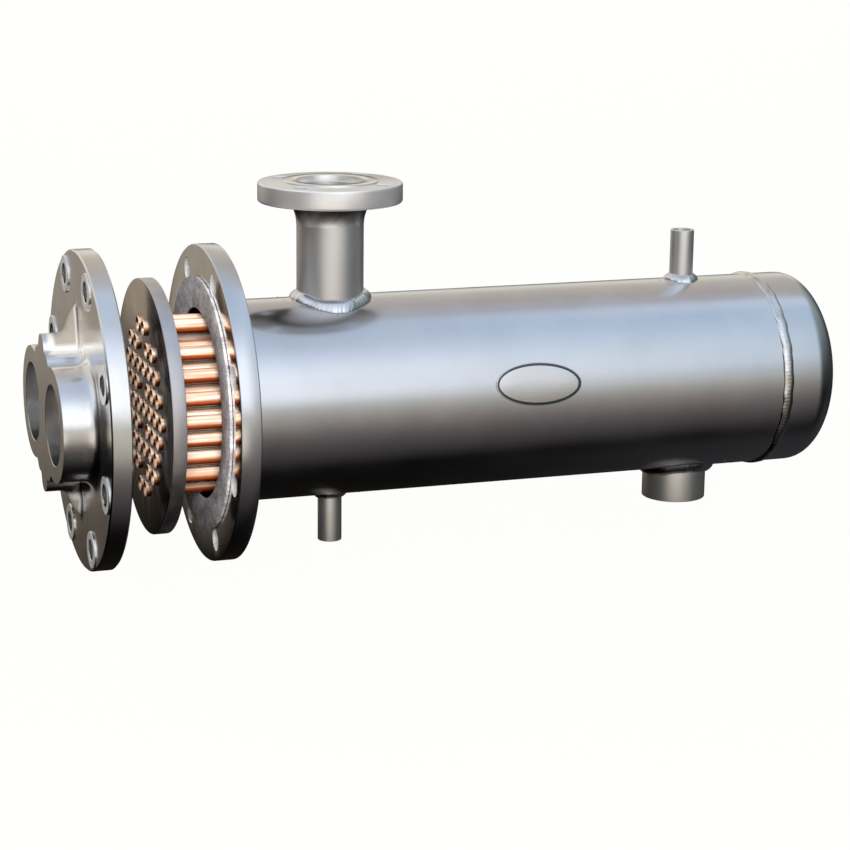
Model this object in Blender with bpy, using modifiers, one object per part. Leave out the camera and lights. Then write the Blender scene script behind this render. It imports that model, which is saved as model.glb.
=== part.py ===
# Shell-and-tube oil cooler, shown opened along its axis: bonnet, tube bundle and shell.
# Metres, +Z up. X runs along the shell, from the bonnet towards the dished head.
# The origin is on the shell's axis, halfway along the barrel.

import math

import bmesh
import bpy
from mathutils import Matrix

# Clearances
FIT_GAP = 0.0003              # between pieces that touch
BAFFLE_CLEARANCE = 0.0015     # baffle edge to shell bore
SEAT_CLEARANCE = 0.0005       # gasket and tube sheet edge to the ring of bolts

# Shell: an 8 inch pipe with a welded flange and a dished head
SHELL_OD = 0.2191
SHELL_WALL = 0.00635
SHELL_LENGTH = 0.651          # flange face to head seam
HEAD_STRAIGHT = 0.038
HEAD_DEPTH = 0.044

# Bolted joint, the same on the shell flange and the bonnet
BOLT_SETOUT = 0.0397          # shell wall to the circle of bolt centres
FLANGE_MARGIN = 0.02225       # circle of bolt centres to the flange's edge
FLANGE_THICKNESS = 0.022
BOLT_HOLE = 0.0222
BOLT_COUNT = 8
GASKET_THICKNESS = 0.003

# Nozzles: stations from the flange face and the head seam, projections from the shell wall
FRONT_STATION = 0.145
REAR_STATION = 0.087
NOZZLE_OD = 0.073
NOZZLE_WALL = 0.00516
INLET_PROJECTION = 0.12595    # to the inlet flange's face
INLET_BOLT_SETOUT = 0.027     # nozzle wall to the circle of bolt centres
INLET_FLANGE_MARGIN = 0.015
INLET_FLANGE_THICKNESS = 0.0215
INLET_BOLT_HOLE = 0.016
INLET_BOLT_COUNT = 4
RAISED_FACE_WIDTH = 0.0155
RAISED_FACE_HEIGHT = 0.0016
PIPE_RECESS = 0.006           # inlet pipe end below the raised face
OUTLET_PROJECTION = 0.03695
SMALL_PIPE_OD = 0.0267
SMALL_PIPE_WALL = 0.0029
VENT_PROJECTION = 0.05645
DRAIN_PROJECTION = 0.05545

# Welds
SEAM_WIDTH = 0.010
SEAM_HEIGHT = 0.0026
FILLET_LEG = 0.007
NECK_WIDTH = 0.008            # flared weld under the inlet flange
NECK_HEIGHT = 0.024
NOZZLE_BEAD = 0.0088          # bead diameter round the large nozzles
SMALL_BEAD = 0.006

# Oval name plate on the side of the shell
PLATE_OFFSET = 0.0235         # from the middle of the barrel
PLATE_LENGTH = 0.099
PLATE_HEIGHT = 0.047
PLATE_THICKNESS = 0.0015
PLATE_ANGLE = math.radians(11.6)   # above the horizontal, towards -Y

# Tube bundle
SHEET_THICKNESS = 0.015
SHEET_STANDOFF = 0.048        # shell flange face to tube sheet, as shown
TUBE_OD = 0.01588
TUBE_WALL = 0.0012
TUBE_PITCH = 0.0254           # triangular, in level rows
TUBE_PROUD = 0.003            # tube ends beyond the sheet
TUBE_EDGE = 0.004             # least distance from a tube to the shell bore
BEND_CLEARANCE = 0.005        # bends to the start of the head's dish
BAFFLE_COUNT = 3
BAFFLE_THICKNESS = 0.005
WINDOW_ROWS = 2.5             # height of a baffle's cut edge, in tube rows
ROD_DIAMETER = 0.0095
ROD_ROWS = 1                  # height of the tie rods, in tube rows: odd rows have no middle tube
ROD_END = 0.010               # tie rod beyond its nut
NUT_WALL = 0.00375            # rod to a corner of its nut
NUT_HEIGHT = 0.007

# Bonnet
BONNET_STANDOFF = 0.0485      # tube sheet to bonnet, as shown
BOSS_PROJECTION = 0.0385      # flange face to port face
PORT_BORE = 0.085
PORT_WALL = 0.0185
BAR_HALF_WIDTH = 0.016        # upright bar between the ports
BAR_HALF_HEIGHT = 0.086
RIB_RUN = 0.028               # bar end to the rib's toe
RIB_SHOULDER = 0.003          # bar end to the rib's crest
RIB_THICKNESS = 0.022
PAD_DIAMETER = 0.042          # raised spot face round each bolt
PAD_HEIGHT = 0.003
CHAMBER_DEPTH = 0.012
PARTITION_WIDTH = 0.008

# Facets
ROUND = 40
FINE_ROUND = 80
NOZZLE_SIDES = 20
BEAD_STEPS = 16
HOLE_SIDES = 12
TUBE_SIDES = 8
HEX = 6                       # nuts, and the holes in the baffles
BEND_STEPS = 4
DISH_STEPS = 4
NECK_STEPS = 4
SHARP_ANGLE = math.radians(35)
WELD_DISTANCE = 0.00001       # vertices closer than this are one

SHELL_RADIUS = SHELL_OD / 2
BORE_RADIUS = SHELL_RADIUS - SHELL_WALL
BOLT_CIRCLE = SHELL_OD + 2 * BOLT_SETOUT
FLANGE_RADIUS = BOLT_CIRCLE / 2 + FLANGE_MARGIN
SEAT_RADIUS = (BOLT_CIRCLE - BOLT_HOLE) / 2 - SEAT_CLEARANCE
NOZZLE_RADIUS = NOZZLE_OD / 2
NOZZLE_BORE = NOZZLE_RADIUS - NOZZLE_WALL
SMALL_RADIUS = SMALL_PIPE_OD / 2
SMALL_BORE = SMALL_RADIUS - SMALL_PIPE_WALL
INLET_HEIGHT = SHELL_RADIUS + INLET_PROJECTION
INLET_BOLT_CIRCLE = NOZZLE_OD + 2 * INLET_BOLT_SETOUT
INLET_FLANGE_RADIUS = INLET_BOLT_CIRCLE / 2 + INLET_FLANGE_MARGIN
RAISED_FACE_RADIUS = NOZZLE_RADIUS + RAISED_FACE_WIDTH
ROW_STEP = TUBE_PITCH * math.sqrt(3) / 2
PORT_OFFSET = PORT_BORE / 2 + BAR_HALF_WIDTH
LOBE_RADIUS = PORT_BORE / 2 + PORT_WALL
LEG_LENGTH = SHELL_LENGTH + HEAD_STRAIGHT - BORE_RADIUS - BEND_CLEARANCE
BAFFLE_PITCH = LEG_LENGTH / (BAFFLE_COUNT + 1)

# Places along X
FLANGE_FACE = -SHELL_LENGTH / 2
SEAM = SHELL_LENGTH / 2
FRONT_NOZZLES = FLANGE_FACE + FRONT_STATION
REAR_NOZZLES = SEAM - REAR_STATION
SHEET_BACK = FLANGE_FACE - SHEET_STANDOFF
SHEET_FRONT = SHEET_BACK - SHEET_THICKNESS
BENDS_START = SHEET_BACK + LEG_LENGTH
LAST_BAFFLE = SHEET_BACK + BAFFLE_COUNT * BAFFLE_PITCH
BONNET_BACK = SHEET_FRONT - BONNET_STANDOFF
BONNET_FRONT = BONNET_BACK - FLANGE_THICKNESS
BOSS_FACE = BONNET_FRONT - BOSS_PROJECTION

ALONG_X = Matrix.Rotation(math.pi / 2, 4, "Y")


def clear_scene():
    for obj in list(bpy.data.objects):
        bpy.data.objects.remove(obj, do_unlink=True)


def new_collection(name):
    made = bpy.data.collections.new(name)
    bpy.context.scene.collection.children.link(made)
    return made


def finish(name, colour, roughness, metallic):
    made = bpy.data.materials.new(name)
    made.use_nodes = True
    shader = made.node_tree.nodes["Principled BSDF"]
    shader.inputs["Base Color"].default_value = (*colour, 1)
    shader.inputs["Roughness"].default_value = roughness
    shader.inputs["Metallic"].default_value = metallic
    return made


def body(name, parent=None):
    """An empty on the shell's axis that carries one rigid group of pieces."""
    empty = bpy.data.objects.new(name, None)
    parts.objects.link(empty)
    empty.parent = parent
    return empty


def piece(name, data, group, material):
    obj = bpy.data.objects.new(name, data)
    parts.objects.link(obj)
    obj.parent = group
    data.materials.append(material)
    return obj


def helper(name, mesh):
    """A shape that only cuts, joins or trims another."""
    obj = bpy.data.objects.new(name, mesh)
    cutters.objects.link(obj)
    obj.hide_render = True
    obj.display_type = "WIRE"
    return obj


def combine(target, other, operation):
    modifier = target.modifiers.new(other.name, "BOOLEAN")
    modifier.operation = operation
    modifier.object = other
    modifier.solver = "EXACT"


def mesh_of(name, shape):
    mesh = bpy.data.meshes.new(name)
    shape.to_mesh(mesh)
    shape.free()
    mesh.shade_smooth()
    mesh.set_sharp_from_angle(angle=SHARP_ANGLE)
    return mesh


def turned(obj, steps):
    """Turns a profile of (radius, height) points about its object's Z axis."""
    screw = obj.modifiers.new("turned", "SCREW")
    screw.steps = steps
    screw.render_steps = steps
    screw.use_merge_vertices = True
    screw.merge_threshold = WELD_DISTANCE


def profile(name, points, closed=True):
    """Points run down the outer side and back up the inner one."""
    shape = bmesh.new()
    line = [shape.verts.new((radius, 0, height)) for radius, height in points]
    for first, second in zip(line, line[1:]):
        shape.edges.new((first, second))
    if closed:
        shape.edges.new((line[-1], line[0]))
    mesh = bpy.data.meshes.new(name)
    shape.to_mesh(mesh)
    shape.free()
    return mesh


def ring(inner, outer, low, high):
    return [(outer, high), (outer, low), (inner, low), (inner, high)]


def rods(name, places, radius, low, high, sides, frame):
    """One mesh of equal round rods, from low to high along the frame's Z axis."""
    shape = bmesh.new()
    for x, y in places:
        middle = Matrix.Translation((x, y, (low + high) / 2))
        bmesh.ops.create_cone(
            shape, cap_ends=True, segments=sides, radius1=radius, radius2=radius,
            depth=high - low, matrix=frame @ middle,
        )
    return mesh_of(name, shape)


def around(radius, sides):
    """Corner radius of a faceted hole that clears a round piece of this radius."""
    return radius / math.cos(math.pi / sides)


def circle(count, diameter):
    """Places of a bolt pattern that straddles the centre lines."""
    step = 2 * math.pi / count
    return [
        (diameter / 2 * math.cos(step * (k + 0.5)), diameter / 2 * math.sin(step * (k + 0.5)))
        for k in range(count)
    ]


def plate(name, outline, thickness, frame):
    """A flat outline made solid, centred on the frame's XY plane."""
    curve = bpy.data.curves.new(name, "CURVE")
    curve.dimensions = "2D"
    curve.fill_mode = "BOTH"
    curve.extrude = thickness / 2
    spline = curve.splines.new("POLY")
    spline.points.add(len(outline) - 1)
    for point, (x, y) in zip(spline.points, outline):
        point.co = (x, y, 0, 1)
    spline.use_cyclic_u = True
    guide = bpy.data.objects.new(name, curve)
    cutters.objects.link(guide)
    bpy.context.view_layer.update()
    graph = bpy.context.evaluated_depsgraph_get()
    mesh = bpy.data.meshes.new_from_object(guide.evaluated_get(graph))
    bpy.data.objects.remove(guide, do_unlink=True)
    shape = bmesh.new()
    shape.from_mesh(mesh)
    bmesh.ops.remove_doubles(shape, verts=shape.verts, dist=WELD_DISTANCE)
    bmesh.ops.transform(shape, matrix=frame, verts=shape.verts)
    bmesh.ops.recalc_face_normals(shape, faces=shape.faces)
    bpy.data.meshes.remove(mesh)
    return mesh_of(name, shape)


def arc(centre, radius, start, end, steps):
    return [
        (
            centre[0] + radius * math.cos(start + (end - start) * k / steps),
            centre[1] + radius * math.sin(start + (end - start) * k / steps),
        )
        for k in range(steps + 1)
    ]


def half_disc(radius, flat, side):
    """Outline of a disc's half that stops at a flat beside the middle."""
    reach = math.acos(flat / radius)
    points = arc((0, 0), radius, -reach, reach, ROUND // 2)
    return [(side * x, y) for x, y in points][::side]


def across(x):
    """A plane square to the shell: its X is the row's Y, its Y is up, its Z is along the shell."""
    return Matrix.Translation((x, 0, 0)) @ Matrix(((0, 0, 1, 0), (1, 0, 0, 0), (0, 1, 0, 0), (0, 0, 0, 1)))


def tube_places():
    """Row height and bend radius of each U-tube that fits in the shell."""
    limit = BORE_RADIUS - TUBE_OD / 2 - TUBE_EDGE
    found = []
    rows = math.floor(limit / ROW_STEP)
    for row in range(rows, -rows - 1, -1):
        offset = TUBE_PITCH if row % 2 else TUBE_PITCH / 2
        while math.hypot(offset, row * ROW_STEP) <= limit:
            found.append((offset, row * ROW_STEP))
            offset += TUBE_PITCH
    return found


def build_shell():
    steel = finish("silver painted steel", (0.42, 0.44, 0.48), 0.3, 0.9)
    bead = finish("weld metal", (0.62, 0.62, 0.64), 0.35, 1.0)
    fibre = finish("grey gasket fibre", (0.33, 0.32, 0.33), 0.85, 0.0)
    group = body("shell")
    near = (FRONT_NOZZLES, 0)
    far = (REAR_NOZZLES, 0)
    up = Matrix.Identity(4)
    down = Matrix.Rotation(math.pi, 4, "X")
    high = SHELL_RADIUS + SHELL_WALL
    low = BORE_RADIUS / 2

    barrel = piece(
        "shell_barrel",
        profile("shell_barrel", ring(BORE_RADIUS, SHELL_RADIUS, FLANGE_FACE, SEAM - FIT_GAP)),
        group, steel,
    )
    barrel.matrix_local = ALONG_X
    turned(barrel, ROUND)
    openings = (
        ("inlet", near, NOZZLE_BORE, up), ("outlet", far, NOZZLE_BORE, down),
        ("vent", far, SMALL_BORE, up), ("drain", near, SMALL_BORE, down),
    )
    for name, place, radius, frame in openings:
        hole = rods(name + "_hole", [place], radius, low, high, NOZZLE_SIDES, frame)
        combine(barrel, helper(name + "_hole", hole), "DIFFERENCE")

    flange = piece(
        "shell_flange",
        profile("shell_flange", ring(
            SHELL_RADIUS + FIT_GAP, FLANGE_RADIUS, FLANGE_FACE, FLANGE_FACE + FLANGE_THICKNESS)),
        group, steel,
    )
    flange.matrix_local = ALONG_X
    turned(flange, ROUND)
    holes = rods(
        "shell_bolt_holes", circle(BOLT_COUNT, BOLT_CIRCLE), BOLT_HOLE / 2,
        FLANGE_FACE - FLANGE_THICKNESS, FLANGE_FACE + 2 * FLANGE_THICKNESS, HOLE_SIDES, across(0),
    )
    combine(flange, helper("shell_bolt_holes", holes), "DIFFERENCE")

    gasket = piece(
        "shell_gasket",
        profile("shell_gasket", ring(
            BORE_RADIUS, SEAT_RADIUS, FLANGE_FACE - FIT_GAP - GASKET_THICKNESS, FLANGE_FACE - FIT_GAP)),
        group, fibre,
    )
    gasket.matrix_local = ALONG_X
    turned(gasket, ROUND)

    build_head(group, steel, bead)

    back = FLANGE_FACE + FLANGE_THICKNESS + FIT_GAP
    foot = SHELL_RADIUS + FIT_GAP
    fillet = piece(
        "flange_weld",
        profile("flange_weld", [(foot, back + FILLET_LEG), (foot + FILLET_LEG, back), (foot, back)]),
        group, bead,
    )
    fillet.matrix_local = ALONG_X
    turned(fillet, ROUND)

    saddle = helper("saddle", rods(
        "saddle", [(0, 0)], SHELL_RADIUS + FIT_GAP, FLANGE_FACE, SEAM, FINE_ROUND, ALONG_X))
    pipes = (
        ("inlet", near, NOZZLE_RADIUS, NOZZLE_BORE, NOZZLE_BEAD,
         INLET_HEIGHT + RAISED_FACE_HEIGHT - PIPE_RECESS, up),
        ("outlet", far, NOZZLE_RADIUS, NOZZLE_BORE, NOZZLE_BEAD,
         SHELL_RADIUS + OUTLET_PROJECTION, down),
        ("vent", far, SMALL_RADIUS, SMALL_BORE, SMALL_BEAD,
         SHELL_RADIUS + VENT_PROJECTION, up),
        ("drain", near, SMALL_RADIUS, SMALL_BORE, SMALL_BEAD,
         SHELL_RADIUS + DRAIN_PROJECTION, down),
    )
    for name, place, radius, bore, bead_size, reach, frame in pipes:
        pipe = piece(name + "_pipe", profile(name + "_pipe", ring(bore, radius, 0, reach)), group, steel)
        placed = Matrix.Translation((place[0], 0, 0)) @ frame
        pipe.matrix_local = placed
        turned(pipe, NOZZLE_SIDES)
        combine(pipe, saddle, "DIFFERENCE")
        weld = piece(name + "_weld", saddle_bead(name + "_weld", radius, bead_size), group, bead)
        weld.matrix_local = placed

    build_inlet_flange(group, steel, bead)
    build_name_plate(group)
    return group


def build_head(group, steel, bead):
    """A dished head with a straight skirt, butt welded to the barrel."""
    start = SEAM + FIT_GAP
    skirt = start + HEAD_STRAIGHT
    turns = [math.pi / 2 * k / DISH_STEPS for k in range(DISH_STEPS + 1)]
    outer = [(SHELL_RADIUS * math.sin(t), skirt + HEAD_DEPTH * math.cos(t)) for t in turns]
    inner = [(BORE_RADIUS * math.sin(t), skirt + (HEAD_DEPTH - SHELL_WALL) * math.cos(t)) for t in turns]
    points = outer + [(SHELL_RADIUS, start), (BORE_RADIUS, start)] + inner[::-1]
    head = piece("dished_head", profile("dished_head", points, closed=False), group, steel)
    head.matrix_local = ALONG_X
    turned(head, ROUND)

    foot = SHELL_RADIUS + FIT_GAP
    crown = [
        (foot + SEAM_HEIGHT * math.sin(t), SEAM + SEAM_WIDTH / 2 * math.cos(t))
        for t in (0, math.pi / 2, math.pi)
    ]
    weld = piece("head_weld", profile("head_weld", crown), group, bead)
    weld.matrix_local = ALONG_X
    turned(weld, ROUND)


def saddle_bead(name, radius, bead):
    """A round weld bead where an upright pipe of this radius meets the shell."""
    reach = radius + FIT_GAP + bead / 2
    rest = SHELL_RADIUS + FIT_GAP + bead / 2
    curve = bpy.data.curves.new(name, "CURVE")
    curve.dimensions = "3D"
    curve.bevel_depth = bead / 2
    curve.bevel_resolution = 1
    spline = curve.splines.new("POLY")
    spline.points.add(BEAD_STEPS - 1)
    for k, point in enumerate(spline.points):
        turn = 2 * math.pi * k / BEAD_STEPS
        x = around(reach, BEAD_STEPS) * math.cos(turn)
        y = around(reach, BEAD_STEPS) * math.sin(turn)
        point.co = (x, y, math.sqrt(rest ** 2 - y ** 2) + FIT_GAP, 1)
    spline.use_cyclic_u = True
    return curve


def build_inlet_flange(group, steel, bead):
    """A slip-on flange with a raised face, and the flared weld under it."""
    bore = NOZZLE_RADIUS + FIT_GAP
    under = INLET_HEIGHT - INLET_FLANGE_THICKNESS
    top = INLET_HEIGHT + RAISED_FACE_HEIGHT
    points = [
        (RAISED_FACE_RADIUS, top), (RAISED_FACE_RADIUS, INLET_HEIGHT), (INLET_FLANGE_RADIUS, INLET_HEIGHT),
        (INLET_FLANGE_RADIUS, under), (bore, under), (bore, top),
    ]
    flange = piece("inlet_flange", profile("inlet_flange", points), group, steel)
    flange.location = (FRONT_NOZZLES, 0, 0)
    turned(flange, ROUND)
    holes = rods(
        "inlet_bolt_holes", circle(INLET_BOLT_COUNT, INLET_BOLT_CIRCLE), INLET_BOLT_HOLE / 2,
        under - INLET_FLANGE_THICKNESS, top + INLET_FLANGE_THICKNESS, HOLE_SIDES,
        Matrix.Translation((FRONT_NOZZLES, 0, 0)),
    )
    combine(flange, helper("inlet_bolt_holes", holes), "DIFFERENCE")

    low = under - FIT_GAP
    shares = [k / NECK_STEPS for k in range(NECK_STEPS + 1)]
    flare = [(bore + NECK_WIDTH * (1 - share) ** 2, low - NECK_HEIGHT * share) for share in shares]
    fillet = piece(
        "inlet_flange_weld", profile("inlet_flange_weld", flare + [(bore, low)]), group, bead,
    )
    fillet.location = (FRONT_NOZZLES, 0, 0)
    turned(fillet, NOZZLE_SIDES)


def build_name_plate(group):
    """A bare oval plate that follows the curve of the shell."""
    paint = finish("bare name plate", (0.2, 0.2, 0.21), 0.4, 0.6)
    inside = SHELL_RADIUS + FIT_GAP
    oval = piece(
        "name_plate",
        profile("name_plate", ring(
            inside, inside + PLATE_THICKNESS, PLATE_OFFSET - PLATE_LENGTH, PLATE_OFFSET + PLATE_LENGTH)),
        group, paint,
    )
    oval.matrix_local = ALONG_X
    turned(oval, FINE_ROUND)
    facing = Matrix.Rotation(math.pi / 2 - PLATE_ANGLE, 4, "X")
    size = Matrix.Diagonal((PLATE_LENGTH / 2, PLATE_HEIGHT / 2, 1, 1))
    outline = rods(
        "plate_outline", [(0, 0)], 1, SHELL_RADIUS - PLATE_HEIGHT, SHELL_RADIUS + PLATE_HEIGHT, ROUND,
        Matrix.Translation((PLATE_OFFSET, 0, 0)) @ facing @ size,
    )
    combine(oval, helper("plate_outline", outline), "INTERSECT")


def build_bundle(parent):
    steel = finish("tube sheet steel", (0.24, 0.23, 0.23), 0.4, 0.9)
    copper = finish("copper tube", (0.83, 0.44, 0.27), 0.3, 1.0)
    group = body("tube_bundle", parent)
    places = tube_places()
    both = [(side * bend, height) for bend, height in places for side in (-1, 1)]
    rod_places = [(0, ROD_ROWS * ROW_STEP), (0, -ROD_ROWS * ROW_STEP)]

    for number, (bend, height) in enumerate(places, 1):
        tube = piece(f"u_tube_{number:02d}", u_bend(bend, height), group, copper)
        wall = tube.modifiers.new("wall", "SOLIDIFY")
        wall.thickness = TUBE_WALL
        wall.offset = -1

    bores = helper("tube_bores", rods(
        "tube_bores", both, around(TUBE_OD / 2 + FIT_GAP, TUBE_SIDES),
        SHEET_FRONT - SHEET_THICKNESS, SHEET_BACK + SHEET_THICKNESS, TUBE_SIDES, across(0)))
    sheet = piece(
        "tube_sheet",
        rods("tube_sheet", [(0, 0)], SEAT_RADIUS, SHEET_FRONT, SHEET_BACK, ROUND, across(0)),
        group, steel,
    )
    combine(sheet, bores, "DIFFERENCE")

    behind = LAST_BAFFLE + BAFFLE_PITCH / 2
    baffle_bores = helper("baffle_bores", rods(
        "baffle_bores", both, around(TUBE_OD / 2 + FIT_GAP, HEX),
        SHEET_BACK, behind, HEX, across(0)))
    rod_bores = helper("rod_bores", rods(
        "rod_bores", rod_places, around(ROD_DIAMETER / 2 + FIT_GAP, HEX),
        SHEET_BACK, behind, HEX, across(0)))
    edge = BORE_RADIUS - BAFFLE_CLEARANCE
    window = WINDOW_ROWS * ROW_STEP
    for number in range(1, BAFFLE_COUNT + 1):
        side = 1 if number % 2 else -1
        front = SHEET_BACK + number * BAFFLE_PITCH - BAFFLE_THICKNESS
        reach = math.asin(window / edge)
        outline = [(x, side * y) for x, y in arc((0, 0), edge, -math.pi - reach, reach, ROUND)]
        baffle = piece(
            f"baffle_{number}",
            plate(f"baffle_{number}", outline, BAFFLE_THICKNESS, across(front + BAFFLE_THICKNESS / 2)),
            group, steel,
        )
        combine(baffle, baffle_bores, "DIFFERENCE")
        combine(baffle, rod_bores, "DIFFERENCE")

    rod_end = LAST_BAFFLE + FIT_GAP + NUT_HEIGHT + ROD_END
    for number, place in enumerate(rod_places, 1):
        name = f"tie_rod_{number}"
        rod = rods(name, [place], ROD_DIAMETER / 2, SHEET_BACK + FIT_GAP, rod_end, TUBE_SIDES, across(0))
        piece(name, rod, group, steel)
        name = f"tie_rod_nut_{number}"
        nut = piece(
            name,
            profile(name, ring(
                around(ROD_DIAMETER / 2 + FIT_GAP, HEX), ROD_DIAMETER / 2 + NUT_WALL,
                LAST_BAFFLE + FIT_GAP, LAST_BAFFLE + FIT_GAP + NUT_HEIGHT)),
            group, steel,
        )
        nut.matrix_local = Matrix.Translation((0, place[0], place[1])) @ ALONG_X
        turned(nut, HEX)
    return group


def u_bend(bend, height):
    """The centre line of one U-tube: out along one leg, round the bend and back."""
    start = SHEET_FRONT - TUBE_PROUD
    sweep = [-math.pi / 2 + math.pi * k / BEND_STEPS for k in range(BEND_STEPS + 1)]
    bent = [(BENDS_START + bend * math.cos(t), bend * math.sin(t)) for t in sweep]
    route = [(start, -bend)] + bent + [(start, bend)]
    curve = bpy.data.curves.new("u_tube", "CURVE")
    curve.dimensions = "3D"
    curve.bevel_depth = TUBE_OD / 2
    curve.bevel_resolution = 2
    spline = curve.splines.new("POLY")
    spline.points.add(len(route) - 1)
    for point, (x, y) in zip(spline.points, route):
        point.co = (x, y, height, 1)
    return curve


def boss_outline():
    """Two round lobes side by side, with an upright bar of rounded ends between them."""
    meet = math.acos((PORT_OFFSET - BAR_HALF_WIDTH) / LOBE_RADIUS)
    end = BAR_HALF_HEIGHT - BAR_HALF_WIDTH
    right = arc((PORT_OFFSET, 0), LOBE_RADIUS, meet - math.pi, math.pi - meet, ROUND // 2)
    top = arc((0, end), BAR_HALF_WIDTH, 0, math.pi, TUBE_SIDES)
    upper = right + top
    return upper + [(-x, -y) for x, y in upper]


def build_bonnet(parent):
    iron = finish("silver painted cast iron", (0.45, 0.44, 0.42), 0.42, 0.85)
    fibre = finish("bonnet gasket fibre", (0.33, 0.32, 0.33), 0.85, 0.0)
    group = body("bonnet", parent)
    casting = piece(
        "bonnet_casting",
        rods("bonnet_casting", [(0, 0)], FLANGE_RADIUS, BONNET_FRONT, BONNET_BACK, ROUND, across(0)),
        group, iron,
    )

    inside = BONNET_FRONT + FLANGE_THICKNESS / 4
    boss = plate("boss", boss_outline(), inside - BOSS_FACE, across((inside + BOSS_FACE) / 2))
    combine(casting, helper("boss", boss), "UNION")
    upright = Matrix.Rotation(math.pi / 2, 4, "X")
    crest = BOSS_FACE + BOSS_PROJECTION / 4
    low = BAR_HALF_HEIGHT - BAR_HALF_WIDTH
    top = BAR_HALF_HEIGHT - RIB_SHOULDER
    toe = BAR_HALF_HEIGHT + RIB_RUN
    for name, side in (("upper_rib", 1), ("lower_rib", -1)):
        wedge = [
            (inside, side * low), (crest, side * low), (crest, side * top),
            (BONNET_FRONT, side * toe), (inside, side * toe),
        ]
        combine(casting, helper(name, plate(name, wedge, RIB_THICKNESS, upright)), "UNION")
    bolts = circle(BOLT_COUNT, BOLT_CIRCLE)
    pads = rods("pads", bolts, PAD_DIAMETER / 2, BONNET_FRONT - PAD_HEIGHT, inside, HOLE_SIDES, across(0))
    combine(casting, helper("pads", pads), "UNION")

    past = FLANGE_THICKNESS
    holes = rods(
        "bonnet_bolt_holes", bolts, BOLT_HOLE / 2, BONNET_FRONT - past, BONNET_BACK + past,
        HOLE_SIDES, across(0))
    combine(casting, helper("bonnet_bolt_holes", holes), "DIFFERENCE")
    floor = BONNET_BACK - CHAMBER_DEPTH
    for name, side in (("near_chamber", -1), ("far_chamber", 1)):
        outline = half_disc(BORE_RADIUS, PARTITION_WIDTH / 2, side)
        depth = CHAMBER_DEPTH + past
        chamber = plate(name, outline, depth, across(floor + depth / 2))
        combine(casting, helper(name, chamber), "DIFFERENCE")
    ports = rods(
        "ports", [(-PORT_OFFSET, 0), (PORT_OFFSET, 0)], PORT_BORE / 2, BOSS_FACE - past,
        BONNET_BACK - CHAMBER_DEPTH / 2, NOZZLE_SIDES, across(0))
    combine(casting, helper("ports", ports), "DIFFERENCE")

    seat = BONNET_BACK + FIT_GAP
    gasket = piece(
        "bonnet_gasket",
        rods("bonnet_gasket", [(0, 0)], SEAT_RADIUS, seat, seat + GASKET_THICKNESS, ROUND, across(0)),
        group, fibre,
    )
    for name, side in (("near_window", -1), ("far_window", 1)):
        outline = half_disc(BORE_RADIUS, PARTITION_WIDTH / 2, side)
        window = plate(name, outline, 4 * GASKET_THICKNESS, across(seat + GASKET_THICKNESS / 2))
        combine(gasket, helper(name, window), "DIFFERENCE")


clear_scene()
parts = new_collection("oil_cooler")
cutters = new_collection("cutters")
shell = build_shell()
bundle = build_bundle(shell)
build_bonnet(bundle)
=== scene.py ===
import math
from functools import partial

import bmesh
import bpy
from mathutils import Matrix, Vector, noise


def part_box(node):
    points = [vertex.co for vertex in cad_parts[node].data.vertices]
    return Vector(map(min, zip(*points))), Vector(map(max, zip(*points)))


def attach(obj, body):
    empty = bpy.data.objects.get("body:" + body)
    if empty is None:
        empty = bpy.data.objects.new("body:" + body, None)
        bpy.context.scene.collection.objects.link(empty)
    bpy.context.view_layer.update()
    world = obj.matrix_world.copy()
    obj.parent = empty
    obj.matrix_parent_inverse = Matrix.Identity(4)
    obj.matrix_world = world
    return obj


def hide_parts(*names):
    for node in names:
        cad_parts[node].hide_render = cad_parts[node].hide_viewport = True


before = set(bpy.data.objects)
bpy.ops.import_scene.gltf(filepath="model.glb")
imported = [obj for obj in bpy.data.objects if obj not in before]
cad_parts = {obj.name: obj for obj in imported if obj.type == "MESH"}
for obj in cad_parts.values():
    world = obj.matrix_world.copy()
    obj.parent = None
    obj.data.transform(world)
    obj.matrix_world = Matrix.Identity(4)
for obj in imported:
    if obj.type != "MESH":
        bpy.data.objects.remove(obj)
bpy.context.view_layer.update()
print("frame loaded:", len(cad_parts), "nodes")

mm = 0.001
slack = 1 * mm                      # how near a point must be to count as on a surface
bonnetThickness = 22 * mm           # of its flange: the casting's shape and its paint both need it
alongX = Matrix.Rotation(math.pi / 2, 4, "Y")       # a lathe's own axis laid along the shell
upright = Matrix.Identity(4)
upsideDown = Matrix.Rotation(math.pi, 4, "X")


# Colours and nodes

noiseSpan = {1: 0.3, 2: 0.7}        # a range that nearly all of a noise lies in, by Map Range's own inputs
multiply = {"data_type": "RGBA", "blend_type": "MULTIPLY"}


def hexColour(value):
    parts = [int(value[k:k + 2], 16) / 255 for k in (1, 3, 5)]
    linear = [c / 12.92 if c <= 0.04045 else ((c + 0.055) / 1.055) ** 2.4 for c in parts]
    return (*linear, 1)


def perMm(size):
    return 1 / (size * mm)          # texture scale for a pattern of this size


def setInputs(node, inputs):
    # a node or a socket is linked, by a node's first output, and anything else is set
    for name, value in inputs.items():
        if isinstance(value, bpy.types.Node):
            value = next(output for output in value.outputs if output.enabled)
        if isinstance(value, bpy.types.NodeSocket):
            node.id_data.links.new(value, node.inputs[name])
        else:
            node.inputs[name].default_value = value


def addNode(tree, kind, inputs=None, stops=None, **settings):
    node = tree.nodes.new("ShaderNode" + kind)
    for name, value in settings.items():
        setattr(node, name, value)
    setInputs(node, inputs or {})
    for k, (place, colour) in enumerate(stops or ()):
        elements = node.color_ramp.elements
        element = elements[k] if k < 2 else elements.new(place)
        element.position = place
        element.color = hexColour(colour)
    return node


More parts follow.
